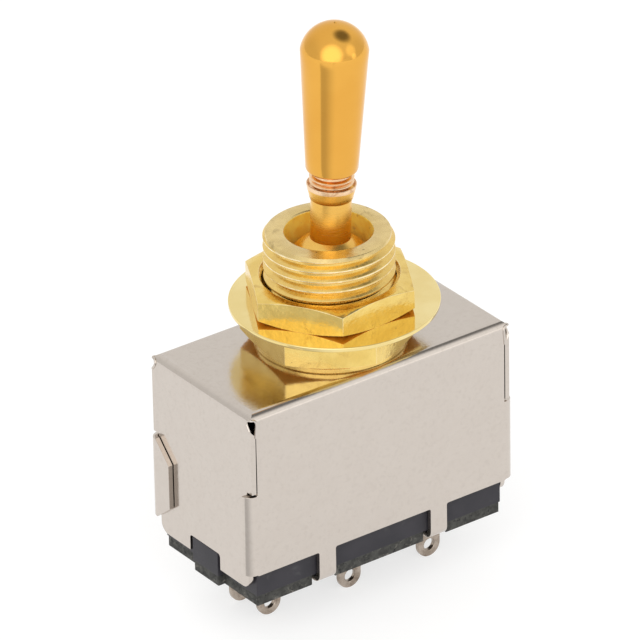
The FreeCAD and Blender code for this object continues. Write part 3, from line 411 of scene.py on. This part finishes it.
def finishPiece(name, bm, body, material, node, sharpAngle=32, turned=False, areas=()):
    bmesh.ops.remove_doubles(bm, verts=bm.verts, dist=mergeGaps["finished"] * mm)
    if turned:
        bmesh.ops.recalc_face_normals(bm, faces=bm.faces)
    for face in bm.faces:
        face.smooth = True
    for edge in bm.edges:
        edge.smooth = not edge.is_manifold or edge.calc_face_angle() < math.radians(sharpAngle)
    for face in bm.faces:
        centre = face.calc_center_median() / mm
        for index, (_, covers) in enumerate(areas, 1):
            if covers and covers(math.hypot(centre.x, centre.y), centre.z, face.normal.z):
                face.material_index = index
    mesh = bpy.data.meshes.new(name)
    bm.to_mesh(mesh)
    bm.free()
    mesh.materials.append(material)
    for finish, _ in areas:
        mesh.materials.append(finish)
    piece = bpy.data.objects.new(name, mesh)
    bpy.context.scene.collection.objects.link(piece)
    weighted = piece.modifiers.new("faceNormals", "WEIGHTED_NORMAL")
    weighted.keep_sharp = True
    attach(piece, body)
    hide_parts(node)
    return piece


# Cover, base and board

coverSettings = {
    "edge": 0.06,
    "segments": 2,
    "foldAngle": 40,
    "corner": (12.6, 5.6, 22.9),  # past this the corner hole's own bead takes over
    "bead": 0.12,
    "beadRound": 3,
    "beadOrder": 3,
    "beadSteps": 6,  # between two points of its line
    "beadLine": [  # round the hole at the front left corner
        (-13.99, -7.61, 22.95), (-13.96, -7.61, 23.55), (-13.90, -7.61, 24.05), (-13.88, -7.60, 24.34),
        (-13.94, -7.56, 24.60), (-14.12, -7.51, 24.75), (-14.42, -7.52, 24.79), (-14.41, -7.22, 24.75),
        (-14.46, -7.04, 24.60), (-14.51, -6.98, 24.34), (-14.51, -7.12, 24.08), (-14.51, -7.42, 23.70)],
}
baseEdges = {"edge": 0.08, "segments": 2}
boardEdges = {"edge": 0.06, "segments": 2}
lugEdges = {"edge": 0.09, "segments": 3}


def addBeads(bm, settings):
    curveData = bpy.data.curves.new("holeBead", "CURVE")
    curveData.dimensions = "3D"
    curveData.bevel_depth = settings["bead"] * mm
    curveData.bevel_resolution = settings["beadRound"]
    curveData.use_fill_caps = True
    spline = curveData.splines.new("NURBS")
    spline.points.add(len(settings["beadLine"]) - 1)
    for point, place in zip(spline.points, settings["beadLine"]):
        point.co = (*(Vector(place) * mm), 1)
    spline.order_u, spline.resolution_u = settings["beadOrder"], settings["beadSteps"]
    spline.use_endpoint_u = True
    wire = bpy.data.objects.new("holeBead", curveData)
    bead = bpy.data.meshes.new_from_object(wire)
    bpy.data.objects.remove(wire)
    for side in ((1, 1), (-1, 1), (1, -1), (-1, -1)):
        part = bmesh.new()
        part.from_mesh(bead)
        bmesh.ops.scale(part, verts=part.verts, vec=(*side, 1))
        bmesh.ops.remove_doubles(part, verts=part.verts, dist=mergeGaps["bead"] * mm)
        bmesh.ops.recalc_face_normals(part, faces=part.faces)
        addShape(bm, part)
    bpy.data.meshes.remove(bead)


def clearOfHoles(edge):
    wide, deep, low = (value * mm for value in coverSettings["corner"])
    return not all(abs(vert.co.x) > wide and abs(vert.co.y) > deep and vert.co.z > low
                   for vert in edge.verts)


def makeCover(settings):
    bm = copyOfNode("cover")
    softenEdges(bm, settings["edge"], settings["segments"], settings["foldAngle"], clearOfHoles,
                clamp=False)
    addBeads(bm, settings)
    finishPiece("coverShell", bm, "switch_body", nickelPlate, "cover")
    print("cover made")


def softenedCopy(name, node, edges, material):
    bm = copyOfNode(node)
    softenEdges(bm, edges["edge"], edges["segments"], clamp=False)
    finishPiece(name, bm, "switch_body", material, node)


makeCover(coverSettings)
softenedCopy("mouldedBase", "base", baseEdges, darkMoulding)
softenedCopy("fibreBoard", "fibre_board", boardEdges, mottledFibre)
for row in ("front", "rear"):
    for place in ("left", "centre", "right"):
        lug = "%s_%s" % (row, place)
        softenedCopy("lug_" + lug, "terminal_" + lug, lugEdges, tinnedLug)
print("base, board and lugs made")

# Threaded bushing

bushingSettings = {
    "steps": 96,
    "sharpAngle": 38,
    "crest": 5.97,
    "root": 5.46,
    "pitch": 1.0,
    "turns": 13,
    "lead": 1.5,  # how many pitches below its cut end the thread begins
    "halfRidge": [(0, 0.5), (0, 0.40), (0.12, 0.33), (0.88, 0.13), (1, 0.06)],  # shares of depth and pitch
    "threadLow": boxOf("lower_nut")[0][2],
    "threadTop": 35.92,
    "rim": boxOf("bushing")[1][2],
    "rimEdge": 5.72,
    "rimWidth": (4.02, 4.9),
    "rimSoft": 0.05,
    "rimSegments": 2,
    "rimAngle": 50,
    "throat": 4.0,
    "throatEdge": [(4.2, 0), (4.12, -0.03), (4.03, -0.12), (4.0, -0.2)],  # down from the rim
    "throatLow": 33.29,
    "chamber": 4.3,
    "chamberTop": 32.17,
    "stake": [(5.0, boxOf("bushing")[0][2]), (5.6, 24.7), (5.0, 24.7)],
    "flange": boxOf("bushing")[1][0],
    "flangeEdge": [(0.1, 0), (0, 0.1), (0, 0.48), (0.1, 0.6)],  # in from the flange, up from the plate
    "plateTop": boxOf("cover")[1][2],
    "hole": 5.0,
    "seat": 6.4,
    # How far past each of these a face or edge may lie and still be taken as on it
    "crestSlack": 0.03,
    "throatSlack": 0.01,
    "rimSlack": 0.01,
    "rimFootSlack": 0.02,
    "stakeSlack": 0.1,
}


def radiusOf(vert):
    return math.hypot(vert.co.x, vert.co.y)


def setRadius(vert, radius):
    scale = radius / radiusOf(vert)
    vert.co.x *= scale
    vert.co.y *= scale


def openLoop(bm, height):
    return [edge for edge in bm.edges
            if edge.is_boundary and all(abs(vert.co.z - height * mm) < loopGap * mm for vert in edge.verts)]


def cutThread(settings):
    crest, root, pitch, steps = (settings[key] for key in ("crest", "root", "pitch", "steps"))
    half = [(root + (crest - root) * share, step) for share, step in settings["halfRidge"]]
    ridge = [(radius, -step) for radius, step in half] + half[::-1]
    bm = bmesh.new()
    start = settings["threadLow"] - settings["lead"] * pitch
    corners = [bm.verts.new((radius * mm, 0, (start + step * pitch) * mm)) for radius, step in ridge]
    runs = [bm.edges.new(pair) for pair in zip(corners, corners[1:])]
    bmesh.ops.spin(bm, geom=corners + runs, cent=(0, 0, 0), axis=(0, 0, 1), dvec=(0, 0, pitch * mm / steps),
                   angle=2 * math.pi * settings["turns"], steps=steps * settings["turns"],
                   use_merge=False, use_normal_flip=False, use_duplicate=False)
    bmesh.ops.remove_doubles(bm, verts=bm.verts, dist=mergeGaps["thread"] * mm)
    for height, side in ((settings["threadLow"], -1), (settings["threadTop"], 1)):
        bmesh.ops.bisect_plane(bm, geom=bm.verts[:] + bm.edges[:] + bm.faces[:], dist=cutGap * mm,
                               plane_co=(0, 0, height * mm), plane_no=(0, 0, side), clear_outer=True,
                               clear_inner=False)
    return bm


def drawRim(bm, settings):
    made = bmesh.ops.extrude_edge_only(bm, edges=openLoop(bm, settings["threadTop"]))["geom"]
    for vert in (item for item in made if isinstance(item, bmesh.types.BMVert)):
        setRadius(vert, min(settings["rimEdge"] * mm, radiusOf(vert)))
        vert.co.z = settings["rim"] * mm


def boreAndFlange(settings):
    rim, throat, chamber, hole = (settings[key] for key in ("rim", "throat", "chamber", "hole"))
    outline = [(settings["rimWidth"][1], rim)] + raised(settings["throatEdge"], rim)
    outline += [(throat, settings["throatLow"]), (chamber, settings["chamberTop"])]
    outline += [(chamber, settings["stake"][0][1])] + settings["stake"] + [(hole, settings["plateTop"])]
    outline += raised([(settings["flange"] - inset, rise) for inset, rise in settings["flangeEdge"]],
                      settings["plateTop"])
    outline += [(settings["seat"], settings["threadLow"])]
    return turnProfile(outline, settings["steps"])


def makeBushing(settings):
    bm = cutThread(settings)
    drawRim(bm, settings)
    addShape(bm, boreAndFlange(settings))
    for height in (settings["rim"], settings["threadLow"]):
        bmesh.ops.triangle_fill(bm, edges=openLoop(bm, height), use_beauty=True, use_dissolve=False)
    crest, threadTop = settings["crest"], settings["threadTop"]
    rimLow = settings["rim"] - settings["rimSlack"]
    softenEdges(bm, settings["rimSoft"], settings["rimSegments"], settings["rimAngle"],
                lambda edge: all(vert.co.z > rimLow * mm for vert in edge.verts))
    throat = settings["chamber"] + settings["throatSlack"]
    stakeTop = settings["stake"][0][1] + settings["stakeSlack"]
    rimFoot = threadTop + settings["rimFootSlack"]
    areas = [
        (wornCrest, lambda radius, height, rise:
            abs(radius - crest) < settings["crestSlack"] and height < threadTop),
        # painted light in the bore, above the stake
        (paintedLightThroat, lambda radius, height, rise: radius < throat and height > stakeTop),
        (rimGold, lambda radius, height, rise: radius > settings["rimWidth"][0] and height > rimFoot),
    ]
    finishPiece("bushingTurning", bm, "switch_body", paleGold, "bushing",
                settings["sharpAngle"], turned=True, areas=areas)
    print("bushing made")


makeBushing(bushingSettings)

# Nuts and washer

nutSettings = {
    "edge": 0.09,
    "segments": 3,
    "edgeAngle": 25,
    "underside": -0.3,  # a face that looks down more than this is in the gap between the nuts, and is given painted light
}
washerShape = {
    "bore": 6.5,
    "edge": 0.08,
    "segments": 3,
    "steps": 144,
}


def makeNuts(settings):
    for name, node in (("lowerNut", "lower_nut"), ("upperNut", "upper_nut")):
        bm = copyOfNode(node)
        # bevel faces get rubbed plating and a painted highlight
        for face in softenEdges(bm, settings["edge"], settings["segments"], settings["edgeAngle"]):
            face.material_index = 1
        areas = [(wearAndHighlightEdge, None), (paintedLightGold, lambda radius, height, rise: rise < settings["underside"])]
        finishPiece(name, bm, "switch_body", goldPlate, node, areas=areas)


def makeWasher(settings):
    (left, front, low), (right, back, top) = boxOf("washer")
    bore, radius = settings["bore"], (right - left) / 2
    section = [(bore, low), (radius, low), (radius, top), (bore, top), (bore, low)]
    bm = turnProfile(section, settings["steps"])
    softenEdges(bm, settings["edge"], settings["segments"])
    centre = Vector((left + right, front + back, 0)) / 2
    bmesh.ops.translate(bm, verts=bm.verts, vec=centre * mm)
    finishPiece("washerDisc", bm, "switch_body", washerGold, "washer", turned=True)
    print("nuts and washer made")


makeNuts(nutSettings)
makeWasher(washerShape)

# Lever and its tip

leverSettings = {
    "steps": 72,
    "sharpAngle": 40,
    "pivot": round(frame["joints"][0]["pos_m"][2] / mm, 3),
    "tipBall": (1.25, 14.0, -50, 50, 8),  # radius, height, first and last angle, steps
    "foot": (0, 13.04),
    "arm": [(0.8, 15.8), (1.6, 16.6)],
    "ball": 4.25,
    "ballAngles": (-67.9, 64.0, 24),
    "shaft": 1.86,
    "shoulder": 5.0,  # up from the pivot
    "collarLow": 39.34,
    "collar": [(1.93, 0.02), (1.98, 0.1), (2.06, 0.5)],
    "neckLow": 40.67,
    "lip": [(2.22, -0.25), (2.27, 0.02), (2.27, 0.12), (2.22, 0.17), (2.14, 0.12), (2.0, -0.28),
            (1.72, -0.3), (1.72, 0.16)],
    "rings": (0.2, 0.66),
    "ring": [(1.72, 0), (1.96, 0.05), (2.04, 0.13), (2.04, 0.2), (1.96, 0.28), (1.72, 0.34)],
    "knobLow": 42.05,
    "spindle": [(1.7, 0), (1.5, 0), (1.5, 7), (0, 7)],  # up from the knob's foot
    "copper": (-0.31, -0.02),  # from the neck's foot to the knob's
}
tipSettings = {
    "steps": 96,
    "sharpAngle": 20,
    "apex": 56.53,
    "bore": 1.53,
    "boreDepth": 7.6,
    "foot": [(2.05, 0), (2.2, 0.06), (2.33, 0.22), (2.39, 0.4)],  # the small round at the lower end
    "taperSteps": 12,
    "width": 3.09,
    "domeHeight": 2.56,
    "domeSteps": 20,
    "dimpleEdge": 0.16,
    "dimple": [(0.1, -0.05), (0, -0.16)],
}


def leaned(bm, pivot):
    bmesh.ops.rotate(bm, verts=bm.verts, cent=(0, 0, pivot * mm),
                     matrix=Matrix.Rotation(math.radians(leverLean), 3, "Y"))
    return bm


def makeLever(settings):
    pivot, shaft = settings["pivot"], settings["shaft"]
    collar, neck, knob = settings["collarLow"], settings["neckLow"], settings["knobLow"]
    outline = [settings["foot"]] + arcPoints(*settings["tipBall"]) + settings["arm"]
    outline += arcPoints(settings["ball"], pivot, *settings["ballAngles"])
    outline += [(shaft, pivot + settings["shoulder"]), (shaft, collar)] + raised(settings["collar"], collar)
    outline += raised(settings["lip"], neck)
    for rise in settings["rings"]:
        outline += raised(settings["ring"], neck + rise)
    outline += raised(settings["spindle"], knob)
    low, high = neck + settings["copper"][0], knob + settings["copper"][1]
    areas = [(neckCopper, lambda radius, height, rise: low < height < high)]
    bm = leaned(turnProfile(outline, settings["steps"]), pivot)
    finishPiece("leverTurning", bm, "lever_body", leverGold, "lever", settings["sharpAngle"],
                turned=True, areas=areas)


def makeKnob(settings, lever):
    low, apex, width, bore = lever["knobLow"], settings["apex"], settings["width"], settings["bore"]
    foot, footTop = settings["foot"][-1][0], low + settings["foot"][-1][1]
    domeLow = apex - settings["domeHeight"]
    domeRadius = (width ** 2 + settings["domeHeight"] ** 2) / (2 * settings["domeHeight"])
    centre = apex - domeRadius
    edgeAngle = math.degrees(math.asin((domeLow - centre) / domeRadius))
    dimpleAngle = math.degrees(math.acos(settings["dimpleEdge"] / domeRadius))
    outline = [(0, low + settings["boreDepth"]), (bore, low + settings["boreDepth"]), (bore, low)]
    outline += raised(settings["foot"], low)
    shares = [step / settings["taperSteps"] for step in range(1, settings["taperSteps"])]
    outline += [(foot + (width - foot) * share, footTop + (domeLow - footTop) * share) for share in shares]
    outline += arcPoints(domeRadius, centre, edgeAngle, dimpleAngle, settings["domeSteps"])
    outline += raised(settings["dimple"], apex)
    bm = leaned(turnProfile(outline, settings["steps"]), lever["pivot"])
    finishPiece("leverKnob", bm, "lever_body", knobGold, "lever_tip",
                settings["sharpAngle"], turned=True)
    print("lever and tip made")


makeLever(leverSettings)
makeKnob(tipSettings, leverSettings)

# Finishes on the inner pieces that keep their CAD shape


def dressNode(node, material):
    mesh = frame["nodes"][node].data
    mesh.materials.clear()
    mesh.materials.append(material)


for node, material in (
        ("ball_seat", goldPlate), ("slider", nylon), ("front_bridge", contactStrip),
        ("rear_bridge", contactStrip), ("front_contact_spring", springLeaf),
        ("rear_contact_spring", springLeaf), ("front_detent_spring", springLeaf),
        ("rear_detent_spring", springLeaf)):
    dressNode(node, material)
print("inner pieces dressed")

# Floor and light

studio = {
    "floorSize": 3.0,
    "floorSteps": 96,
    "floorDrop": 0.00002,       # a hair below the lugs
    "floorRoughness": 0.9,
    "floorSpecular": 0.1,
    "floorTone": 0.38,
    "floorGlow": 0.65,
    "paintedShadeDrop": 0.62,          # painted shade: the floor's colour and glow are darker in front, outside the view
    "frontAxis": (-0.588, -0.809, 0.0),
    "rightAxis": (0.809, -0.588, 0.0),
    "shadeStart": (0.016, 0.022),
    "shadeEnd": (0.100, 0.150),
    "shadeLeft": (-1.22, -1.0),  # as sideways reach per unit ahead
    "shadeRight": (-0.7, 0.2),
    "sky": 0.96,
    "openingTone": 0.22,        # dark opening in the tent, above and to the right
    "opening": (0.36, -0.13, 0.92),
    "openingReach": (8, 30),
    "glowTone": 1.9,            # bright wall, low on the left
    "glow": (-0.66, -0.64, 0.38),
    "glowReach": (18, 44),
    "bounceTone": 1.45,         # a paler one on the right
    "bounce": (0.43, -0.80, 0.42),
    "bounceReach": (6, 22),
    "stripTone": 1.6,           # a small bright patch where wall and floor meet
    "strip": (0.515, -0.853, 0.085),
    "stripReach": (3, 11),
    "skyColour": (1.0, 0.99, 0.97, 1),
    "sideTone": 0.86,           # the tent's side walls get less light
    "sideReach": (0.3, 0.9),
    "key": 5.0,
    "keyPlace": (-0.50, -0.69, 0.60),
    "keyAim": (0, 0, 0.03),
    "keySize": (1.3, 1.04),
}


def alongNode(nodes, links, vector, axis):
    dot = nodes.new("ShaderNodeVectorMath")
    dot.operation = "DOT_PRODUCT"
    dot.inputs[1].default_value = Vector(axis).normalized()
    links.new(vector, dot.inputs[0])
    return dot.outputs["Value"]


def mathNode(nodes, links, operation, first, second):
    node = nodes.new("ShaderNodeMath")
    node.operation = operation
    links.new(first, node.inputs[0])
    links.new(second, node.inputs[1])
    return node.outputs["Value"]


def makeFloor(settings):
    bm = bmesh.new()
    bmesh.ops.create_circle(bm, cap_ends=True, radius=settings["floorSize"] / 2,
                            segments=settings["floorSteps"])
    bmesh.ops.translate(bm, verts=bm.verts, vec=(0, 0, -settings["floorDrop"]))
    mesh = bpy.data.meshes.new("studioFloor")
    bm.to_mesh(mesh)
    bm.free()
    floor = bpy.data.objects.new("studioFloor", mesh)
    bpy.context.scene.collection.objects.link(floor)
    material = bpy.data.materials.new("palePaper")
    material.use_nodes = True
    nodes, links = material.node_tree.nodes, material.node_tree.links
    shader = nodes["Principled BSDF"]
    shader.inputs["Roughness"].default_value = settings["floorRoughness"]
    shader.inputs["Specular IOR Level"].default_value = settings["floorSpecular"]
    place = nodes.new("ShaderNodeTexCoord").outputs["Object"]
    ahead = alongNode(nodes, links, place, settings["frontAxis"])
    aside = alongNode(nodes, links, place, settings["rightAxis"])
    spread = mathNode(nodes, links, "DIVIDE", aside, ahead)
    # painted shade: a soft darker wedge of floor colour and glow in front of the part
    paintedShadeMask = rangeNode(nodes, links, ahead, *settings["shadeStart"], 0, 1)
    for value, key, ends in ((ahead, "shadeEnd", (1, 0)), (spread, "shadeLeft", (0, 1)),
                             (spread, "shadeRight", (1, 0))):
        edge = rangeNode(nodes, links, value, *settings[key], *ends)
        paintedShadeMask = mathNode(nodes, links, "MULTIPLY", paintedShadeMask, edge)
    for socket, value in (("Base Color", settings["floorTone"]), ("Emission Color", settings["floorGlow"])):
        tone = mixColour(nodes, links, paintedShadeMask, (value,) * 3, (value * settings["paintedShadeDrop"],) * 3)
        links.new(tone, shader.inputs[socket])
    shader.inputs["Emission Strength"].default_value = 1.0
    mesh.materials.append(material)


def makeSky(settings):
    world = bpy.data.worlds.new("paleStudio")
    bpy.context.scene.world = world
    world.use_nodes = True
    nodes, links = world.node_tree.nodes, world.node_tree.links
    background = nodes["Background"]
    direction = nodes.new("ShaderNodeTexCoord").outputs["Generated"]
    strength = None
    for part in ("opening", "glow", "bounce", "strip"):
        inner, outer = (math.cos(math.radians(angle)) for angle in settings[part + "Reach"])
        near = alongNode(nodes, links, direction, settings[part])
        patch = rangeNode(nodes, links, near, outer, inner, 1.0, settings[part + "Tone"])
        strength = mathNode(nodes, links, "MULTIPLY", strength, patch) if strength else patch
    aside = alongNode(nodes, links, direction, settings["rightAxis"])
    aside = mathNode(nodes, links, "MULTIPLY", aside, aside)
    walls = rangeNode(nodes, links, aside, *settings["sideReach"], settings["sky"],
                      settings["sky"] * settings["sideTone"])
    links.new(mathNode(nodes, links, "MULTIPLY", strength, walls), background.inputs["Strength"])
    background.inputs["Color"].default_value = settings["skyColour"]


def makeKeyLight(settings):
    lightData = bpy.data.lights.new("keySoftbox", "AREA")
    lightData.shape = "RECTANGLE"
    lightData.size, lightData.size_y = settings["keySize"]
    lightData.energy = settings["key"]
    light = bpy.data.objects.new("keySoftbox", lightData)
    light.visible_glossy = False  # the tent's walls make the reflections
    bpy.context.scene.collection.objects.link(light)
    light.location = settings["keyPlace"]
    sight = Vector(settings["keyAim"]) - Vector(settings["keyPlace"])
    light.rotation_euler = sight.to_track_quat("-Z", "Y").to_euler()


makeFloor(studio)
makeSky(studio)
makeKeyLight(studio)
bpy.context.scene.view_settings.view_transform = "Standard"
print("studio made")
